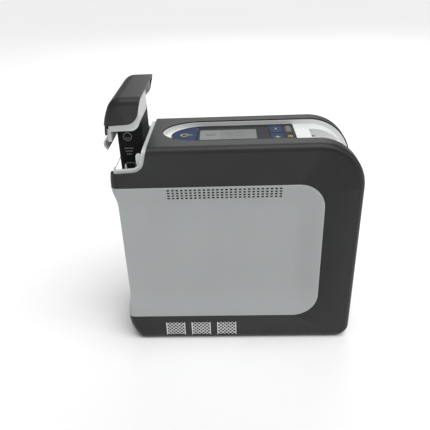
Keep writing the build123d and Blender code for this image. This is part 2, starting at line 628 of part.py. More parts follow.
def grille(side):
    """Three mesh inserts, one to each outlet window."""
    inserts = []
    for x in GRILLE_X:
        plate = Pos(x, GRILLE_Z) * RectangleRounded(GRILLE_W, GRILLE_H, 0.8)
        for row in range(MESH_ROWS):
            count = 5 - row % 2
            dz = (row - (MESH_ROWS - 1) / 2) * MESH_ROW
            for k in range(count):
                dx = (k - (count - 1) / 2) * MESH_PITCH
                plate -= Pos(x + dx, GRILLE_Z + dz) * Rot(0, 0, 45) * Rectangle(MESH_HOLE, MESH_HOLE)
        near, far = (-48.3, -46.4) if side < 0 else (46.4, 48.3)
        inserts.append(depth_extrude(XZ * plate, near, far))
    return Compound(children=inserts)


def feet():
    pads = [rod(7.0, (x, y, 0), (x, y, BASE + 1.0)) for x, y in FEET]
    return Compound(children=pads)


def screws():
    """Socket screws that hold the two housings together, driven from the rear."""
    items = []
    for x, z in SCREWS:
        head = rod(2.9, (x, 44.0, z), (x, 46.6, z)) - rod(1.3, (x, 45.2, z), (x, 47, z))
        items.append(head + rod(1.25, (x, -24, z), (x, 44.1, z)))
    return Compound(children=items)


def build():
    """Every node by name, at the rest pose: battery lifted out of its seat."""
    parts = {}
    parts["panel_front"], parts["panel_rear"] = panels()
    parts["housing_front"], parts["housing_rear"] = shells()
    parts["top_fascia"] = fascia()
    parts["keypad_overlay"], parts["lcd_window"], keys = keypad()
    parts.update(keys)
    parts["outlet_nozzle"], parts["outlet_filter"] = outlet()
    parts["bay_bezel"], parts["bay_sleeve"], parts["bay_connector"] = bay()
    parts["chassis_tray"] = chassis()
    case, heads, pistons, can, rotor, mounts = compressor()
    parts["compressor_crankcase"] = case
    parts["cylinder_front"], parts["cylinder_rear"] = heads
    parts["piston_front"], parts["piston_rear"] = pistons
    parts["compressor_motor"], parts["motor_rotor"], parts["compressor_mounts"] = can, rotor, mounts
    parts["fan_frame"], parts["fan_impeller"] = fan()
    cans, beds, low, high = columns()
    parts["sieve_column_front"], parts["sieve_column_rear"] = cans
    parts["sieve_beds"], parts["column_head_lower"], parts["column_head_upper"] = beds, low, high
    names = ("product_tank", "valve_manifold", "solenoid_valves", "intake_muffler", "exhaust_muffler",
             "oxygen_sensor", "cooling_coil", "gas_tubes")
    parts.update(zip(names, gas_parts()))
    parts["intake_filters"] = filters()
    names = ("main_board", "display_board", "lcd_module", "alarm_sounder", "power_inlet", "wiring_leads")
    parts.update(zip(names, electronics()))
    parts["outlet_grilles_front"], parts["outlet_grilles_rear"] = grille(-1), grille(1)
    parts["rubber_feet"], parts["housing_screws"] = feet(), screws()
    lifted = dict(zip(("battery_case", "battery_cells", "battery_board", "battery_lid"), battery()))
    lifted["cap_shell"], lifted["cap_liner"] = cap()
    lifted["latch_bar"], lifted["latch_pin"] = latch()
    for name, shape in lifted.items():
        solids = [Pos(0, 0, LIFT) * solid for solid in shape.solids()]
        parts[name] = Compound(children=solids)
    return parts


os.makedirs("parts", exist_ok=True)
for node, shape in build().items():
    export_step(shape, f"parts/{node}.step")
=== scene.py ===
import json
import math

import bmesh
import bpy
from mathutils import Matrix, Vector


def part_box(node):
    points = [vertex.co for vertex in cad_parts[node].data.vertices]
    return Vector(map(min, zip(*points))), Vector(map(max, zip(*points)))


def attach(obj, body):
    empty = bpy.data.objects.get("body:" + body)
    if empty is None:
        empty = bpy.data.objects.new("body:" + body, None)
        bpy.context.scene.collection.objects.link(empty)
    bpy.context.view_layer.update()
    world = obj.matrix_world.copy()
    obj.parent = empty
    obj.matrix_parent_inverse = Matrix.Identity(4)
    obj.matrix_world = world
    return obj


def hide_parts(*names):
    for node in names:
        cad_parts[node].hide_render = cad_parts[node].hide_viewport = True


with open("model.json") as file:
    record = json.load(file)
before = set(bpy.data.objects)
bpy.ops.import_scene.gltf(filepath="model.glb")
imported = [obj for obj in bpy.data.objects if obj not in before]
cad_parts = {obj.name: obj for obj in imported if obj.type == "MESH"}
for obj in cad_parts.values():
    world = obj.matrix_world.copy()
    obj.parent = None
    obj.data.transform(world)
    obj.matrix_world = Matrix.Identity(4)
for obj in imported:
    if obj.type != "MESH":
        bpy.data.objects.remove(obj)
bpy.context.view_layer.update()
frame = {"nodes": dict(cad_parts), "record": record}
nodes = frame["nodes"]
slotOfNode = {part["node"]: part["material_slot"] for part in frame["record"]["subparts"]}
mm = 0.001


# shader expressions
class Signal:
    tree = None  # the node tree that is being filled

    def __init__(self, socket):
        self.socket = socket

    @classmethod
    def add(cls, kind, settings, sockets, output=0):
        node = cls.tree.nodes.new("ShaderNode" + kind)
        for name, value in settings.items():
            if name == "stops":
                cls.setStops(node.color_ramp, value)
            else:
                setattr(node, name, value)
        for name, value in sockets.items():
            if isinstance(value, cls):
                cls.tree.links.new(value.socket, node.inputs[name])
            else:
                node.inputs[name].default_value = value
        return cls(node.outputs[output])

    @staticmethod
    def setStops(ramp, stops):
        while len(ramp.elements) < len(stops):
            ramp.elements.new(0.5)
        for element, (place, level) in zip(ramp.elements, stops):
            element.position = place
            element.color = (level, level, level, 1.0)

    def calc(self, operation, other, swapped=False):
        first, second = (other, self) if swapped else (self, other)
        return Signal.add("Math", {"operation": operation}, {0: first, 1: second})

    def __add__(self, other):
        return self.calc("ADD", other)

    def __sub__(self, other):
        return self.calc("SUBTRACT", other)

    def __rsub__(self, other):
        return self.calc("SUBTRACT", other, True)

    def __mul__(self, other):
        return self.calc("MULTIPLY", other)

    def __gt__(self, other):
        return self.calc("GREATER_THAN", other)

    __radd__ = __add__
    __rmul__ = __mul__

    def ramp(self, *stops):
        return Signal.add("ValToRGB", {"stops": stops}, {"Fac": self})


def tint(colour):
    return (*colour, 1.0) if len(colour) == 3 else colour


def blendColour(mask, low, high):
    low = low if isinstance(low, Signal) else tint(low)
    high = high if isinstance(high, Signal) else tint(high)
    return Signal.add("Mix", {"data_type": "RGBA"}, {0: mask, 6: low, 7: high}, 2)


def place():
    return Signal.add("TexCoord", {}, {}, "Object")


def noise(scale, detail=3.0, roughness=0.55, where=None):
    sockets = {"Vector": where or place(), "Scale": scale, "Detail": detail, "Roughness": roughness}
    return Signal.add("TexNoise", {}, sockets)


def cells(scale, randomness=1.0):
    sockets = {"Vector": place(), "Scale": scale, "Randomness": randomness}
    return Signal.add("TexVoronoi", {"feature": "F1"}, sockets)


def axis(letter):
    return Signal.add("SeparateXYZ", {}, {0: place()}, "XYZ".index(letter))


# mask of convex edges by pointiness, used for a painted highlight along rounded edges
def edgeHighlight(low=0.52, high=0.62):
    bent = Signal.add("NewGeometry", {}, {}, "Pointiness")
    return bent.ramp((low, 0.0), (high, 1.0))


def bumpOf(height, depth, strength=1.0, under=None):
    sockets = {"Height": height, "Distance": depth, "Strength": strength}
    if under is not None:
        sockets["Normal"] = under
    return Signal.add("Bump", {}, sockets)


def finish(name, build, constants):
    material = bpy.data.materials.new(name)
    material.use_nodes = True
    tree = material.node_tree
    Signal.tree = tree
    shader = tree.nodes["Principled BSDF"]
    for socket, value in constants.items():
        shader.inputs[socket].default_value = value
    for socket, value in build().items():
        if isinstance(value, Signal):
            tree.links.new(value.socket, shader.inputs[socket])
        else:
            shader.inputs[socket].default_value = value
    return material


# finishes
def mouldedPlastic(name, colour, rough, grain=1100.0, depth=0.00003, mottle=0.06, edge=0.0, constants=None):
    def build():
        cloud = noise(14.0, 4.0)
        speck = noise(grain, 2.0)
        dark = tuple(c * (1 - mottle) for c in colour)
        pale = tuple(min(c * (1 + mottle) + 0.004, 1.0) for c in colour)
        base = blendColour(cloud.ramp((0.3, 0.0), (0.7, 1.0)), dark, pale)
        # edge sets the strength of a painted highlight laid on convex edges
        if edge:
            highlit = tuple(min(c * (1 + edge) + 0.03 * edge, 1.0) for c in colour)
            base = blendColour(edgeHighlight() * 0.6, base, highlit)
        broad = bumpOf(noise(60.0, 2.0), 0.00006, 0.25)
        return {
            "Base Color": base,
            "Roughness": rough - 0.06 + cloud * 0.08 + speck * 0.05,
            "Normal": bumpOf(speck, depth, 0.7, broad),
        }
    return finish(name, build, {"Specular IOR Level": 0.45, **(constants or {})})


def printedFilm(name, colour, rough=0.32):
    def build():
        weave = cells(2600.0, 0.35)
        smudge = noise(45.0, 5.0, 0.6)
        base = blendColour(smudge, tuple(c * 0.93 for c in colour), tuple(c * 1.08 for c in colour))
        return {
            "Base Color": base,
            "Roughness": rough + smudge * 0.12,
            "Normal": bumpOf(weave, 0.000012, 0.5),
        }
    return finish(name, build, {"Specular IOR Level": 0.18})


def displayFace(name):
    def build():
        low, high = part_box("lcd_window")
        across = (axis("X") - low.x) * (1 / (high.x - low.x))
        deep = (axis("Y") - low.y) * (1 / (high.y - low.y))
        leftPart = 1.0 - (across > 0.36)
        shade = blendColour(leftPart, (0.165, 0.175, 0.174), (0.205, 0.212, 0.210))
        shade = blendColour(deep * 0.5, shade, (0.13, 0.137, 0.136))
        rows = Signal.add("TexWave", {"bands_direction": "Y"}, {"Vector": place(), "Scale": 420.0})
        shade = blendColour(rows * 0.10, shade, (0.12, 0.13, 0.13))
        return {"Base Color": shade, "Roughness": 0.34 + noise(30.0) * 0.1}
    return finish(name, build, {"Specular IOR Level": 0.25})


def satinMetal(name, colour, rough, streak=(1.0, 1.0, 1.0), depth=0.000015):
    def build():
        stretched = Signal.add("VectorMath", {"operation": "MULTIPLY"}, {0: place(), 1: streak})
        lines = noise(900.0, 3.0, 0.6, stretched)
        cloud = noise(30.0, 3.0)
        base = blendColour(cloud, tuple(c * 0.88 for c in colour), colour)
        return {
            "Base Color": base,
            "Roughness": rough + lines * 0.14 + cloud * 0.06,
            "Normal": bumpOf(lines, depth, 0.6),
        }
    return finish(name, build, {"Metallic": 1.0})


def softRubber(name, colour, rough=0.78):
    def build():
        dust = noise(120.0, 5.0, 0.65)
        dusted = tuple(c * 1.5 + 0.01 for c in colour)
        base = blendColour(dust.ramp((0.45, 0.0), (0.75, 1.0)), colour, dusted)
        return {"Base Color": base, "Roughness": rough + dust * 0.1, "Normal": bumpOf(dust, 0.00004, 0.5)}
    return finish(name, build, {"Specular IOR Level": 0.3})


def openFoam(name):
    def build():
        pores = cells(1300.0)
        base = blendColour(pores.ramp((0.1, 0.0), (0.6, 1.0)), (0.006, 0.006, 0.007), (0.045, 0.046, 0.05))
        return {"Base Color": base, "Roughness": 0.9 + pores * 0.1, "Normal": bumpOf(pores, 0.0004, 0.9)}
    return finish(name, build, {"Specular IOR Level": 0.1})


def lacqueredBoard(name):
    def build():
        traces = Signal.add("TexBrick", {"offset": 0.5}, {
            "Vector": place(), "Scale": 160.0, "Mortar Size": 0.06, "Mortar Smooth": 0.2}, "Fac")
        ground = blendColour(noise(90.0, 4.0), (0.012, 0.085, 0.035), (0.02, 0.13, 0.055))
        base = blendColour(traces, ground, (0.05, 0.24, 0.11))
        gloss = 0.3 + noise(60.0) * 0.15
        return {"Base Color": base, "Roughness": gloss, "Normal": bumpOf(traces, 0.00003, 0.6)}
    return finish(name, build, {"Coat Weight": 0.4, "Coat Roughness": 0.15})


def packedBeads(name):
    def build():
        bead = cells(560.0)
        # pale bead centres fading to dark brown where beads meet: painted shade in the gaps of the packed
        # bed
        base = blendColour(bead.ramp((0.15, 0.0), (0.7, 1.0)), (0.66, 0.60, 0.48), (0.25, 0.21, 0.15))
        rounded = bumpOf(1.0 - bead, 0.0008, 0.8)
        return {"Base Color": base, "Roughness": 0.75 + bead * 0.2, "Normal": rounded}
    return finish(name, build, {"Specular IOR Level": 0.25})


def blastedCasting(name, colour):
    def build():
        pits = noise(700.0, 4.0, 0.7)
        stain = noise(25.0, 4.0)
        base = blendColour(stain, tuple(c * 0.8 for c in colour), colour)
        return {"Base Color": base, "Roughness": 0.42 + pits * 0.25, "Normal": bumpOf(pits, 0.00012, 0.6)}
    return finish(name, build, {"Metallic": 0.9})


def shrinkSleeve(name, colour):
    def build():
        ripple = noise(70.0, 2.0)
        base = blendColour(ripple, tuple(c * 0.8 for c in colour), colour)
        gloss = 0.22 + ripple * 0.16
        return {"Base Color": base, "Roughness": gloss, "Normal": bumpOf(ripple, 0.0003, 0.35)}
    return finish(name, build, {"Coat Weight": 0.3, "Coat Roughness": 0.12})


finishes = {
    "shell_light": mouldedPlastic("panelGrey", (0.398, 0.414, 0.414), 0.46, 1250.0, 0.000025, 0.025),
    # the last number on the charcoal shell, battery case and cap is the strength of their painted edge
    # highlight
    "shell_dark": mouldedPlastic("shellCharcoal", (0.0125, 0.013, 0.0135), 0.42, 780.0, 0.00006, 0.10, 0.55,
                                 {"Specular IOR Level": 0.32}),
    "fascia_light": mouldedPlastic("fasciaWhite", (0.74, 0.75, 0.745), 0.38, 1250.0, 0.000015, 0.02),
    "overlay_dark": printedFilm("filmCharcoal", (0.0145, 0.014, 0.018), 0.48),
    "key_blue": printedFilm("filmBlue", (0.009, 0.028, 0.088), 0.48),
    "display_window": displayFace("displayGrey"),
    "nozzle_grey": mouldedPlastic("spigotGrey", (0.10, 0.105, 0.11), 0.42, 900.0),
    "bezel_light": mouldedPlastic("bezelWhite", (0.68, 0.695, 0.70), 0.36, 1250.0, 0.000015, 0.02),
    "bay_black": mouldedPlastic("bayBlack", (0.006, 0.006, 0.0065), 0.6, 700.0,
                                constants={"Specular IOR Level": 0.15}),
    "battery_case": mouldedPlastic("batteryBlack", (0.0035, 0.0037, 0.004), 0.50, 900.0, 0.00003, 0.12, 0.5,
                                   {"Specular IOR Level": 0.05}),
    "cap_dark": mouldedPlastic("capCharcoal", (0.0155, 0.015, 0.0145), 0.42, 780.0, 0.00006, 0.10, 0.55,
                               {"Specular IOR Level": 0.36}),
    "latch_light": mouldedPlastic("latchGrey", (0.50, 0.51, 0.515), 0.34, 1200.0, 0.000015, 0.03),
    "grille_silver": mouldedPlastic("meshSilver", (0.88, 0.90, 0.88), 0.30, 1400.0, 0.00001, 0.05),
    "foot_rubber": softRubber("footBlack", (0.022, 0.022, 0.023)),
    "steel": satinMetal("zincSteel", (0.55, 0.56, 0.58), 0.28),
    "cast_alloy": blastedCasting("castAlloy", (0.62, 0.63, 0.64)),
    "tube_alloy": satinMetal("drawnAlloy", (0.68, 0.69, 0.70), 0.26, (1.0, 1.0, 0.04)),
    "motor_can": mouldedPlastic("motorEnamel", (0.030, 0.031, 0.034), 0.26, 500.0, 0.00002),
    "piston_seal": softRubber("sealBrown", (0.050, 0.032, 0.022), 0.55),
    "nylon_grey": mouldedPlastic("nylonGrey", (0.20, 0.205, 0.215), 0.48, 900.0),
    "fan_black": mouldedPlastic("fanBlack", (0.016, 0.016, 0.018), 0.42, 900.0),
    "zeolite": packedBeads("beadBed"),
    "valve_brass": satinMetal("valveBrass", (0.66, 0.46, 0.20), 0.26),
    "foam": openFoam("filterFoam"),
    "tube_silicone": mouldedPlastic("siliconeMilky", (0.62, 0.65, 0.67), 0.30, 400.0, 0.00001, 0.03,
                                    constants={"Subsurface Weight": 0.25, "Subsurface Scale": 0.002}),
    "board_green": lacqueredBoard("boardGreen"),
    "cell_wrap": shrinkSleeve("sleeveBlue", (0.05, 0.17, 0.40)),
    "lead_black": softRubber("leadBlack", (0.018, 0.018, 0.020), 0.6),
    "isolator": softRubber("mountBlack", (0.02, 0.02, 0.02)),
}
for name, node in nodes.items():
    for holder in node.material_slots:
        holder.material = finishes[slotOfNode[name]]
print("finishes on the frame:", len(finishes))


# making pieces
def addPiece(name, bm, material, body, replaced=(), bevel=0.0, rounds=2):
    bmesh.ops.recalc_face_normals(bm, faces=bm.faces)
    mesh = bpy.data.meshes.new(name)
    bm.to_mesh(mesh)
    bm.free()
    piece = bpy.data.objects.new(name, mesh)
    bpy.context.scene.collection.objects.link(piece)
    mesh.materials.append(material)
    if bevel:
        edgeRound = piece.modifiers.new("edgeRound", "BEVEL")
        edgeRound.width = bevel
        edgeRound.segments = rounds
        edgeRound.limit_method = "ANGLE"
        edgeRound.angle_limit = math.radians(35)
    shown = bpy.context.evaluated_depsgraph_get()
    final = bpy.data.meshes.new_from_object(piece.evaluated_get(shown))
    piece.modifiers.clear()
    piece.data = final
    final.shade_smooth()
    final.set_sharp_from_angle(angle=math.radians(38))
    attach(piece, body)
    if replaced:
        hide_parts(*replaced)
    return piece


def shift(x, y, z=0.0):
    return Matrix.Translation((x, y, z))


def spin(angle, about="Z"):
    return Matrix.Rotation(angle, 4, about)


def frameAt(origin, direction):  # a place whose Z runs along the direction
    return Matrix.Translation(origin) @ Vector(direction).to_track_quat("Z", "Y").to_matrix().to_4x4()


# turns a closed profile of (radius, height) points; a third value gives that ring six flat sides
def turn(bm, profile, origin, direction, sides=40):
    at = frameAt(origin, direction)
    rings = []
    for radius, height, *hexed in profile:
        if radius == 0:
            rings.append([bm.verts.new(at @ Vector((0, 0, height)))])
            continue
        ring = []
        for k in range(sides):
            angle = 2 * math.pi * k / sides
            reach = radius / math.cos(angle % (math.pi / 3) - math.pi / 6) if hexed else radius
            point = Vector((reach * math.cos(angle), reach * math.sin(angle), height))
            ring.append(bm.verts.new(at @ point))
        rings.append(ring)
    for low, high in zip(rings, rings[1:] + rings[:1]):
        for k in range(sides):
            after = k + 1
            ring = [low[k % len(low)], low[after % len(low)], high[after % len(high)], high[k % len(high)]]
            corners = list(dict.fromkeys(ring))  # a ring of one point closes with triangles
            if len(corners) > 2:
                bm.faces.new(corners)


def slab(bm, outline, low, high, at=Matrix.Identity(4)):  # a flat outline between two heights
    bottom = [bm.verts.new(at @ Vector((x, y, low))) for x, y in outline]
    top = [bm.verts.new(at @ Vector((x, y, high))) for x, y in outline]
    bm.faces.new(bottom[::-1])
    bm.faces.new(top)
    count = len(outline)
    for k in range(count):
        bm.faces.new((bottom[k], bottom[(k + 1) % count], top[(k + 1) % count], top[k]))


def roundedOutline(width, height, radius, steps=6):
    points = []
    for quarter, (sx, sy) in enumerate(((1, 1), (-1, 1), (-1, -1), (1, -1))):
        for k in range(steps + 1):
            angle = math.pi / 2 * (quarter + k / steps)
            x = sx * (width / 2 - radius) + radius * math.cos(angle)
            y = sy * (height / 2 - radius) + radius * math.sin(angle)
            points.append((x, y))
    return points


# part of a flat ring, angles in degrees
def arcBand(bm, radius, width, start, end, low, high, at, steps=40):
    whole = abs(end - start) >= 360
    count = steps if whole else steps + 1
    angles = [math.radians(start + (end - start) * k / steps) for k in range(count)]
    inner, outer = radius - width / 2, radius + width / 2
    corners = ((inner, low), (outer, low), (outer, high), (inner, high))
    rings = []
    for a in angles:
        rings.append([bm.verts.new(at @ Vector((r * math.cos(a), r * math.sin(a), z))) for r, z in corners])
    pairs = list(zip(rings, rings[1:])) + ([(rings[-1], rings[0])] if whole else [])
    for one, two in pairs:
        for k in range(4):
            bm.faces.new((one[k], one[(k + 1) % 4], two[(k + 1) % 4], two[k]))
    if not whole:
        bm.faces.new(rings[0][::-1])
        bm.faces.new(rings[-1])


def printedMark(name, colour):
    def build():
        worn = noise(900.0, 3.0, 0.7)
        base = blendColour(worn, tuple(c * 0.85 for c in colour), colour)
        return {"Base Color": base, "Roughness": 0.42 + worn * 0.15}
    return finish(name, build, {})


inkYellow = printedMark("inkYellow", (0.62, 0.50, 0.05))
inkPale = printedMark("inkPale", (0.52, 0.54, 0.55))
inkGrey = printedMark("inkGrey", (0.16, 0.165, 0.17))


# keypad prints
keypad = {"markHeight": 0.00012, "stroke": 0.0011, "powerRing": 0.0036, "powerShift": -0.0004,
          "barLength": 0.0060, "barShift": 0.0052, "signLength": 0.0050, "ticks": 6, "tickLength": 0.0065,
          "tickPitch": 0.0030, "tickX": 0.0545, "tickY": 0.0045, "lampRing": 0.0021, "lampY": -0.0105}


def keyTop(node):
    low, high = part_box(node)
    return shift((low.x + high.x) / 2, (low.y + high.y) / 2, high.z)


def bar(bm, length, width, at, height):
    slab(bm, roundedOutline(length, width, min(length, width) * 0.3), -height / 2, height, at)


def keypadPrints():
    rise, stroke = keypad["markHeight"], keypad["stroke"]
    power = bmesh.new()
    at = keyTop("power_button") @ shift(keypad["powerShift"], 0)
    arcBand(power, keypad["powerRing"], stroke, 32, 328, -rise / 2, rise, at)
    bar(power, keypad["barLength"], stroke, at @ shift(keypad["barShift"], 0), rise)
    addPiece("powerMark", power, inkYellow, "power_key")
    minus = bmesh.new()
    bar(minus, stroke, keypad["signLength"], keyTop("minus_button"), rise)
    addPiece("minusMark", minus, inkYellow, "minus_key")
    plus = bmesh.new()
    at = keyTop("plus_button")
    bar(plus, keypad["signLength"], stroke, at, rise)
    for side in (-1, 1):
        arm = at @ shift(0, side * (keypad["signLength"] + stroke) / 4)
        bar(plus, stroke, (keypad["signLength"] - stroke) / 2, arm, rise)
    addPiece("plusMark", plus, inkYellow, "plus_key")
    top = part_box("keypad_overlay")[1].z
    ticks = bmesh.new()
    for k in range(keypad["ticks"]):
        length = keypad["tickLength"] * (1.0 if k % 2 == 0 else 0.6)
        spot = shift(keypad["tickX"], keypad["tickY"] + k * keypad["tickPitch"], top)
        bar(ticks, length, stroke * 0.7, spot, rise)
    addPiece("levelTicks", ticks, inkPale, "housing")
    lamp = bmesh.new()
    spot = shift(keypad["tickX"], keypad["lampY"], top)
    arcBand(lamp, keypad["lampRing"], stroke * 0.7, 0, 360, -rise / 2, rise, spot)
    bar(lamp, stroke, stroke, spot, rise)
    addPiece("statusMark", lamp, inkYellow, "housing")


keypadPrints()
print("keypad printed")


# separate solids of a node
def solidBoxes(name):  # (low, high) of each separate solid, from left to right
    bm = bmesh.new()
    bm.from_mesh(nodes[name].data)
    bmesh.ops.remove_doubles(bm, verts=bm.verts, dist=1e-6)
    waiting = set(bm.verts)
    boxes = []
    while waiting:
        edge = [waiting.pop()]
        found = list(edge)
        while edge:
            near = {e.other_vert(v) for v in edge for e in v.link_edges} & waiting
            waiting -= near
            found += near
            edge = list(near)
        low = Vector(min(v.co[k] for v in found) for k in range(3))
        high = Vector(max(v.co[k] for v in found) for k in range(3))
        boxes.append((low, high))
    bm.free()
    return sorted(boxes, key=lambda pair: (round(pair[0].x, 5), pair[0].y))


# outlet windows
lattice = {"across": 5, "down": 4, "strand": 0.00066, "thick": 0.0003, "layer": 0.0002, "shortest": 0.001,
           "rim": 0.0008, "rimTop": 0.0001, "rimDeep": 0.0017, "edge": 0.0007, "edgeRound": 0.00018,
           "gauzeGap": 0.0024, "gauzeThick": 0.0007, "gauzeOver": 0.001}


def strandEnds(width, height, pitchX, pitchZ, lean):  # diagonal lines clipped to the window
    slope = lean * pitchX / pitchZ
    reach = math.ceil(width / pitchX + height / pitchZ)
    for k in range(-reach, 2 * reach + 1):
        start = -width / 2 + k * pitchX - slope * height / 2
        spots = []
        for z in (-height / 2, height / 2):
            x = start + slope * z
            if abs(x) <= width / 2:
                spots.append((x, z))
        for x in (-width / 2, width / 2):
            z = (x - start) / slope
            if abs(z) < height / 2:
                spots.append((x, z))
        if len(spots) == 2 and math.dist(*spots) > lattice["shortest"]:
            yield spots


def outletMesh(node, pieceName, outward):
    mesh, gauze = bmesh.new(), bmesh.new()
    rim, thick, strand = lattice["rim"], lattice["thick"], lattice["strand"]
    for low, high in solidBoxes(node):
        width, height = high.x - low.x, high.z - low.z
        centre = (low + high) / 2
        face = high.y if outward > 0 else low.y
        flat = shift(centre.x, face, centre.z) @ spin(-outward * math.pi / 2, "X")
        tall = height - 2 * lattice["edge"]
        pitches = width / lattice["across"], tall / lattice["down"]
        for lean, layer in ((-1, 1), (1, 2)):  # one set of strands lies behind the other
            for (x0, z0), (x1, z1) in strandEnds(width, tall, *pitches, lean):
                outline = roundedOutline(math.hypot(x1 - x0, z1 - z0), strand, strand * 0.35, 2)
                middle = shift((x0 + x1) / 2, (z0 + z1) / 2, -layer * lattice["layer"])
                slab(mesh, outline, -thick, 0.0, flat @ middle @ spin(math.atan2(z1 - z0, x1 - x0)))
        for side in (-1, 1):
            spot = flat @ shift(side * (width - rim) / 2, 0)
            upright = roundedOutline(rim, height, rim * 0.3, 2)
            slab(mesh, upright, -lattice["rimDeep"], -lattice["rimTop"], spot)
        over = lattice["gauzeOver"]
        sheet = roundedOutline(width + over, height + over, over)
        slab(gauze, sheet, -lattice["gauzeThick"], 0.0, flat @ shift(0, 0, -lattice["gauzeGap"]))
    addPiece(pieceName, mesh, finishes["grille_silver"], "housing", (node,),
             lattice["edgeRound"])
    addPiece(pieceName + "Gauze", gauze, finishes["foam"], "housing")


outletMesh("outlet_grilles_front", "outletMeshFront", -1)
outletMesh("outlet_grilles_rear", "outletMeshRear", 1)
print("outlet windows meshed")


# dark foam-coloured tabs sunk just inside the intake holes: painted shade that makes each hole read black
holeShade = {"left": -0.0677, "pitch": 0.00442, "columns": 26, "top": 0.1908, "rowStep": 0.0032, "rows": 4,
              "width": 0.00255, "height": 0.00185, "corner": 0.00048, "sunk": 0.0006, "deep": 0.0008,
              "clear": 0.2}


def holeShadeTabs(node, pieceName, outward):
    bm = bmesh.new()
    panel = nodes[node]
    for row in range(holeShade["rows"]):
        z = holeShade["top"] - row * holeShade["rowStep"]
        beside = holeShade["left"] + holeShade["pitch"] * 0.5
        outside = Vector((beside, outward * holeShade["clear"], z))
        surface = panel.ray_cast(outside, Vector((0, -outward, 0)))[1].y
        face = surface - outward * holeShade["sunk"]
        for column in range(holeShade["columns"]):
            x = holeShade["left"] + column * holeShade["pitch"]
            at = shift(x, face, z) @ spin(-outward * math.pi / 2, "X")
            outline = roundedOutline(holeShade["width"], holeShade["height"], holeShade["corner"], 3)
            slab(bm, outline, -holeShade["deep"], 0.0, at)
    addPiece(pieceName, bm, finishes["foam"], "housing")


holeShadeTabs("panel_front", "holeShadeFront", -1)
holeShadeTabs("panel_rear", "holeShadeRear", 1)
print("intake holes shaded")


# turned and moulded small parts
spigot = {"bore": 0.0016, "root": 0.0026, "neck": 0.0025, "barb": 0.0030, "tip": 0.0021, "collar": 0.0034,
          "collarLength": 0.0060, "neckTo": 0.42, "barbAt": 0.52, "round": 0.0002}
foot = {"dish": 0.0004, "rimWidth": 0.0011, "groove": 0.0024, "skirt": 0.0007, "slope": 0.0003}
screw = {"key": 0.00125, "keyDepth": 0.0014, "headTall": 0.0026, "shank": 0.00125, "crown": 0.0003,
         "pitch": 0.0010, "turns": 9, "point": 0.0006, "root": 0.82, "fillet": 0.0002}
inlet = {"socket": 0.0034, "lip": 0.0044, "lipDeep": 0.0009, "pin": 0.00095, "pinTip": 0.0018,
         "pinTaper": 0.0006, "floorBack": 0.0092, "chamfer": 0.0006, "round": 0.0004}


def outletSpigot():
    low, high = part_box("outlet_nozzle")
    start = Vector((low.x, (low.y + high.y) / 2, (low.z + high.z) / 2))
    long, root = high.x - low.x, spigot["collarLength"]
    free, ease = long - root, spigot["round"]
    bm = bmesh.new()
    turn(bm, [(spigot["bore"], 0), (spigot["root"], 0), (spigot["collar"], 2 * ease),
              (spigot["collar"], root - 1.5 * ease), (spigot["collar"] - 1.5 * ease, root),
              (spigot["neck"], root + ease), (spigot["neck"], root + free * spigot["neckTo"]),
              (spigot["barb"], root + free * spigot["barbAt"]), (spigot["tip"], long - ease),
              (spigot["tip"] - ease, long), (spigot["bore"], long)], start, (1, 0, 0), 48)
    addPiece("outletSpigot", bm, finishes["nozzle_grey"], "housing", ("outlet_nozzle",))


def rubberFeet():
    bm = bmesh.new()
    dish, groove, skirt, slope = (foot[k] for k in ("dish", "groove", "skirt", "slope"))
    for low, high in solidBoxes("rubber_feet"):
        radius, tall = (high.x - low.x) / 2, high.z - low.z
        start = Vector(((low.x + high.x) / 2, (low.y + high.y) / 2, low.z))
        inner = radius - foot["rimWidth"]
        turn(bm, [(0, dish), (groove, dish), (groove + 0.0004, 0), (inner - 0.0022, 0),  # two grip rings
                  (inner - 0.0019, dish), (inner - 0.0009, dish), (inner - 0.0006, 0), (inner + 0.0004, 0),
                  (radius - 0.0001, skirt), (radius, skirt + slope), (radius, tall), (0, tall)],
             start, (0, 0, 1), 48)
    addPiece("rubberFeet", bm, finishes["foot_rubber"], "housing", ("rubber_feet",))


def socketScrews():
    bm = bmesh.new()
    shank, key, crown, fillet = (screw[k] for k in ("shank", "key", "crown", "fillet"))
    thread = []
    for k in range(screw["turns"]):
        thread += [(shank * screw["root"], screw["point"] + k * screw["pitch"]),
                   (shank, screw["point"] + (k + 0.5) * screw["pitch"])]
    for low, high in solidBoxes("housing_screws"):
        radius, long = (high.x - low.x) / 2, high.y - low.y
        start = Vector(((low.x + high.x) / 2, low.y, (low.z + high.z) / 2))
        under, floor = long - screw["headTall"], long - screw["keyDepth"]
        turn(bm, [(0, 0), *thread, (shank, under - fillet), (shank + fillet, under), (radius, under),
                  (radius, long - crown), (radius - crown, long), (key + crown, long),
                  (key, long - crown, "hex"), (key, floor, "hex"), (0, floor - crown)],
             start, (0, 1, 0), 36)
    addPiece("socketScrews", bm, finishes["steel"], "housing", ("housing_screws",))


def powerInlet():
    low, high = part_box("power_inlet")
    radius, long = (high.x - low.x) / 2, high.y - low.y
    start = Vector(((low.x + high.x) / 2, low.y, (low.z + high.z) / 2))
    chamfer, ease, pin = inlet["chamfer"], inlet["round"], inlet["pin"]
    floor, tip = long - inlet["floorBack"], long - inlet["pinTip"]
    bm = bmesh.new()
    turn(bm, [(0, 0), (radius - chamfer, 0), (radius, chamfer), (radius, long - ease),
              (radius - ease, long), (inlet["lip"], long), (inlet["socket"], long - inlet["lipDeep"]),
              (inlet["socket"], floor), (pin, floor), (pin, tip - inlet["pinTaper"]), (pin * 0.5, tip),
              (0, tip)], start, (0, 1, 0), 48)
    addPiece("powerInlet", bm, finishes["bay_black"], "housing", ("power_inlet",))


outletSpigot()
rubberFeet()
socketScrews()
powerInlet()
print("turned parts made")


# fan wheel
wheel = {"blades": 7, "root": 0.0100, "tipGap": 0.0012, "twist": (44.0, 26.0), "chord": (0.0105, 0.0150),
         "bow": 0.14, "thick": 0.0011, "thinnest": 0.04, "spanSteps": 10, "chordSteps": 8,
         "hub": 0.0110, "hubBase": 0.003, "shaft": 0.0015, "crownDish": 0.0005, "bladeClear": 0.0012}


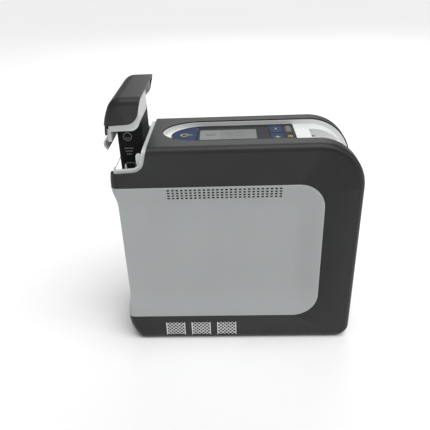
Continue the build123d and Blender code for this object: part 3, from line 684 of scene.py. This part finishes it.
def bladeRow(bm, about, radius, pitch, chord, side):  # one line of points along the chord
    row = []
    for j in range(wheel["chordSteps"] + 1):
        t = j / wheel["chordSteps"] - 0.5
        half = wheel["thick"] / 2 * math.sqrt(max(1 - (2 * t) ** 2, wheel["thinnest"]))
        along, lift = t * chord, wheel["bow"] * chord * (0.25 - t * t) + side * half
        y = along * math.cos(pitch) - lift * math.sin(pitch)
        z = along * math.sin(pitch) + lift * math.cos(pitch)
        point = Vector((radius * math.cos(y / radius), radius * math.sin(y / radius), z))
        row.append(bm.verts.new(about @ point))
    return row


def fanWheel():
    low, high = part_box("fan_impeller")
    x, y = (low.x + high.x) / 2, (low.y + high.y) / 2
    tip = (high.y - low.y) / 2 - wheel["tipGap"]
    base, crown = low.z + wheel["hubBase"], high.z
    hub, shaft, dish = wheel["hub"], wheel["shaft"], wheel["crownDish"]
    bm = bmesh.new()
    turn(bm, [(0, low.z), (shaft - 0.0001, low.z), (shaft, low.z + 0.0002), (shaft, base),
              (hub - 0.0006, base), (hub, base + 0.0006), (hub, crown - 0.0016),
              (hub - 0.0012, crown - 0.0003), (hub - 0.0020, crown), (0.0045, crown),
              (0.0042, crown - dish), (0, crown - dish)], (x, y, 0), (0, 0, 1), 48)
    (rootTwist, tipTwist), (rootChord, tipChord) = wheel["twist"], wheel["chord"]
    for blade in range(wheel["blades"]):
        about = shift(x, y, (base + crown) / 2) @ spin(2 * math.pi * blade / wheel["blades"])
        sheets = {1: [], -1: []}
        for i in range(wheel["spanSteps"] + 1):
            span = i / wheel["spanSteps"]
            radius = wheel["root"] + (tip - wheel["root"]) * span
            pitch = math.radians(rootTwist + (tipTwist - rootTwist) * span)
            room = (crown - base - wheel["bladeClear"]) / math.sin(pitch)
            chord = min(rootChord + (tipChord - rootChord) * span, room)
            for side, rows in sheets.items():
                rows.append(bladeRow(bm, about, radius, pitch, chord, side))
        closeShell(bm, sheets[1], sheets[-1])
    addPiece("fanWheel", bm, finishes["fan_black"], "fan_wheel", ("fan_impeller",))


def closeShell(bm, upper, lower):  # two grids of vertices joined round their edges
    for grid in (upper, lower):
        for one, two in zip(grid, grid[1:]):
            for k in range(len(one) - 1):
                bm.faces.new((one[k], one[k + 1], two[k + 1], two[k]))
    last, end = len(upper) - 1, len(upper[0]) - 1
    border = [(i, 0) for i in range(last)] + [(last, j) for j in range(end)]
    border += [(i, end) for i in range(last, 0, -1)] + [(0, j) for j in range(end, 0, -1)]
    for (a, b), (c, d) in zip(border, border[1:] + border[:1]):
        bm.faces.new((upper[a][b], upper[c][d], lower[c][d], lower[a][b]))


fanWheel()
print("fan wheel bladed")


# thin white cord round the side panels, standing a little proud: a painted highlight along the panel border
panelHighlight = {"radius": 0.00042, "sides": 10, "inset": 0.0006, "cornerTop": 0.026, "cornerLow": 0.027,
             "cornerSteps": 14, "shellCorner": 0.007, "shellSteps": 8, "tongueHalf": 0.0385}


def highlightPath(side):  # from the left end round the corner and along the panel's border
    low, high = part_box("panel_front")
    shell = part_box("housing_front")[0]
    inset, radius = panelHighlight["inset"], panelHighlight["shellCorner"]
    left, depth, right = shell.x, abs(shell.y), high.x - inset
    bottom, top = low.z + inset, high.z - inset

    def wrap(z):
        points = [Vector((left, side * panelHighlight["tongueHalf"], z))]
        for k in range(panelHighlight["shellSteps"] + 1):
            a = math.pi / 2 * k / panelHighlight["shellSteps"]
            x, y = left + radius - radius * math.cos(a), depth - radius + radius * math.sin(a)
            points.append(Vector((x, side * y, z)))
        return points

    def corner(x, z, r, start):
        steps = panelHighlight["cornerSteps"]
        angles = [math.radians(start + 90 * k / steps) for k in range(steps + 1)]
        return [Vector((x + r * math.cos(a), side * depth, z + r * math.sin(a))) for a in angles]

    lowRound, topRound = panelHighlight["cornerLow"], panelHighlight["cornerTop"]
    lowCorner = corner(right - lowRound, bottom + lowRound, lowRound, -90)
    topCorner = corner(right - topRound, top - topRound, topRound, 0)
    return wrap(bottom) + lowCorner + topCorner + wrap(top)[::-1]


def highlightBead(name, side):
    points = highlightPath(side)
    radius, sides = panelHighlight["radius"], panelHighlight["sides"]
    angles = [2 * math.pi * j / sides for j in range(sides)]
    bm = bmesh.new()
    rings = []
    for k, point in enumerate(points):
        ahead = (points[min(k + 1, len(points) - 1)] - points[max(k - 1, 0)]).normalized()
        at = frameAt(point, ahead)
        circle = [Vector((radius * math.cos(a), radius * math.sin(a), 0)) for a in angles]
        rings.append([bm.verts.new(at @ spot) for spot in circle])
    for one, two in zip(rings, rings[1:]):
        start = min(range(sides), key=lambda j: (two[j].co - one[0].co).length)
        two[:] = two[start:] + two[:start]
        for j in range(sides):
            bm.faces.new((one[j], one[(j + 1) % sides], two[(j + 1) % sides], two[j]))
    bm.faces.new(rings[0][::-1])
    bm.faces.new(rings[-1])
    bmesh.ops.translate(bm, verts=bm.verts, vec=(0, -side * radius, 0))
    addPiece(name, bm, finishes["bezel_light"], "housing")


highlightBead("panelHighlightFront", -1)
highlightBead("panelHighlightRear", 1)
print("panel edges laid")


# display segments and battery prints
screen = {"digitTall": 0.0100, "digitWide": 0.0056, "stroke": 0.0011, "endGap": 1.3, "endRound": 0.45,
          "rise": 0.00006, "digitX": 0.031, "digitPitch": 0.0095, "dotX": 0.0357, "dot": 0.0012,
          "iconX": 0.0105, "iconLong": 0.0090, "iconTall": 0.0046, "cellPitch": 0.28, "cellLong": 0.2,
          "cellTall": 0.62, "cellRound": 0.0003}
inkSegment = printedMark("inkSegment", (0.105, 0.112, 0.110))


def segment(bm, width, height, radius, at, steps=2):
    slab(bm, roundedOutline(width, height, radius, steps), -screen["rise"], screen["rise"], at)


def digit(bm, at, lit):  # seven segments, each with its middle and whether it stands upright
    stroke, half, side = screen["stroke"], screen["digitTall"] / 2, screen["digitWide"] / 2
    spots = {"top": (0, half, 0), "middle": (0, 0, 0), "bottom": (0, -half, 0),
             "rightHigh": (side, half / 2, 1), "rightLow": (side, -half / 2, 1),
             "leftHigh": (-side, half / 2, 1), "leftLow": (-side, -half / 2, 1)}
    for name in lit:
        x, y, upright = spots[name]
        length = (half if upright else 2 * side) - stroke * screen["endGap"]
        size = (stroke, length) if upright else (length, stroke)
        segment(bm, *size, stroke * screen["endRound"], at @ shift(x, y), 3)


def displaySegments():
    low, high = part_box("lcd_window")
    middle = (low.y + high.y) / 2
    bm = bmesh.new()
    two = ("top", "rightHigh", "middle", "leftLow", "bottom")
    nought = ("top", "rightHigh", "rightLow", "bottom", "leftLow", "leftHigh")
    for k, lit in enumerate((two, nought)):
        digit(bm, shift(low.x + screen["digitX"] + k * screen["digitPitch"], middle, high.z), lit)
    dot = screen["dot"]
    baseline = middle - screen["digitTall"] / 2
    segment(bm, dot, dot, dot / 3, shift(low.x + screen["dotX"], baseline, high.z), 3)
    icon = shift(low.x + screen["iconX"], middle, high.z)
    long, tall, stroke = screen["iconLong"], screen["iconTall"], screen["stroke"] * 0.6
    edges = ((0, tall / 2, long, stroke), (0, -tall / 2, long, stroke), (-long / 2, 0, stroke, tall),
             (long / 2, 0, stroke, tall), (long / 2 + stroke, 0, stroke, tall * 0.4))
    for x, y, width, height in edges:  # a battery sign with three cells
        segment(bm, width, height, min(width, height) * 0.3, icon @ shift(x, y))
    for k in (-1, 0, 1):
        spot = icon @ shift(k * long * screen["cellPitch"], 0)
        segment(bm, long * screen["cellLong"], tall * screen["cellTall"], screen["cellRound"], spot)
    addPiece("displaySegments", bm, inkSegment, "housing")


batteryPrint = {"x": -0.1058, "ringZ": 0.2395, "ring": 0.0040, "innerRing": 0.45, "arc": (200, 340),
                "barZ": (0.2275, 0.2245, 0.2215), "barLong": 0.0090, "barStep": 0.2, "barWide": 1.2,
                "frameZ": 0.2075, "frame": 0.0092, "stroke": 0.0009, "rise": 0.00012}


def batteryPrints():
    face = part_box("battery_case")[0].y
    stroke, rise, ring = batteryPrint["stroke"], batteryPrint["rise"], batteryPrint["ring"]
    flat = shift(batteryPrint["x"], face) @ spin(math.pi / 2, "X")
    bm = bmesh.new()
    ringSpot = flat @ shift(0, batteryPrint["ringZ"])
    arcBand(bm, ring, stroke, 0, 360, -rise / 2, rise, ringSpot)
    inner, arc = ring * batteryPrint["innerRing"], batteryPrint["arc"]
    arcBand(bm, inner, stroke, *arc, -rise / 2, rise, ringSpot, 16)
    for k, z in enumerate(batteryPrint["barZ"]):
        long = batteryPrint["barLong"] * (1 - batteryPrint["barStep"] * k)
        bar(bm, long, stroke * batteryPrint["barWide"], flat @ shift(0, z), rise)
    size, middle = batteryPrint["frame"], flat @ shift(0, batteryPrint["frameZ"])
    for side in (1, -1):
        bar(bm, size, stroke, middle @ shift(0, side * size / 2), rise)
    for side in (-1, 1):
        bar(bm, stroke, size, middle @ shift(side * size / 2, 0), rise)
    addPiece("batteryPrints", bm, inkGrey, "battery")


displaySegments()
batteryPrints()
print("prints made")


# room, lights and camera
view = {"place": (-7.47, -493.35, 407.29), "yaw": -3.2, "pitch": 29.07, "roll": 2.74, "lens": 42.41,
        "shift": (0.0229, 0.0074)}
room = {"floorSide": 30.0, "floorCorner": 2.0, "floorThick": 0.02, "white": 0.965, "whiter": 0.985,
        "skyStrength": 0.26, "skyColour": (1.0, 1.0, 1.0, 1.0)}


def addCamera():
    yaw, pitch, roll = (math.radians(view[k]) for k in ("yaw", "pitch", "roll"))
    ahead = Vector((math.sin(yaw) * math.cos(pitch), math.cos(yaw) * math.cos(pitch), -math.sin(pitch)))
    right = Vector((math.cos(yaw), -math.sin(yaw), 0))
    down = ahead.cross(right)
    across = math.cos(roll) * right + math.sin(roll) * down
    below = -math.sin(roll) * right + math.cos(roll) * down
    camera = bpy.data.objects.new("camera", bpy.data.cameras.new("camera"))
    bpy.context.scene.collection.objects.link(camera)
    turned = Matrix((across, -below, -ahead)).transposed().to_4x4()
    camera.matrix_world = Matrix.Translation(Vector(view["place"]) * mm) @ turned
    camera.data.lens = view["lens"]
    camera.data.shift_x, camera.data.shift_y = view["shift"]
    bpy.context.scene.camera = camera


def addLight(name, spot, target, size, watts):
    lamp = bpy.data.lights.new(name, "AREA")
    lamp.energy = watts
    lamp.size = size
    holder = bpy.data.objects.new(name, lamp)
    bpy.context.scene.collection.objects.link(holder)
    holder.matrix_world = frameAt(spot, Vector(spot) - Vector(target))


def addSun(name, direction, strength, softness):
    lamp = bpy.data.lights.new(name, "SUN")
    lamp.energy = strength
    lamp.angle = math.radians(softness)
    holder = bpy.data.objects.new(name, lamp)
    bpy.context.scene.collection.objects.link(holder)
    holder.matrix_world = frameAt((0, 0, 2), direction)


def addRoom():
    bm = bmesh.new()
    side = room["floorSide"]
    slab(bm, roundedOutline(side, side, room["floorCorner"]), -room["floorThick"], 0.0)
    mesh = bpy.data.meshes.new("floor")
    bm.to_mesh(mesh)
    bm.free()
    floor = bpy.data.objects.new("floor", mesh)
    bpy.context.scene.collection.objects.link(floor)

    def build():
        cloud = noise(2.0)
        base = blendColour(cloud, (room["white"],) * 3, (room["whiter"],) * 3)
        return {"Base Color": base, "Roughness": 0.7 + cloud * 0.1}

    mesh.materials.append(finish("floorWhite", build, {"Specular IOR Level": 0.2}))
    world = bpy.data.worlds.new("studio")
    bpy.context.scene.world = world
    world.use_nodes = True
    sky = world.node_tree.nodes["Background"]
    sky.inputs["Color"].default_value = room["skyColour"]
    sky.inputs["Strength"].default_value = room["skyStrength"]


addCamera()
addRoom()
addSun("overhead", (0.25, -0.30, 1.0), 2.25, 50.0)
addLight("rearSoft", (0.2, 1.3, 1.2), (0, 0, 0.2), 1.2, 7.0)
addLight("rightEdge", (1.3, -0.2, 0.7), (0, 0, 0.15), 0.8, 2.5)
bpy.context.scene.view_settings.view_transform = "Standard"
print("camera and light set")
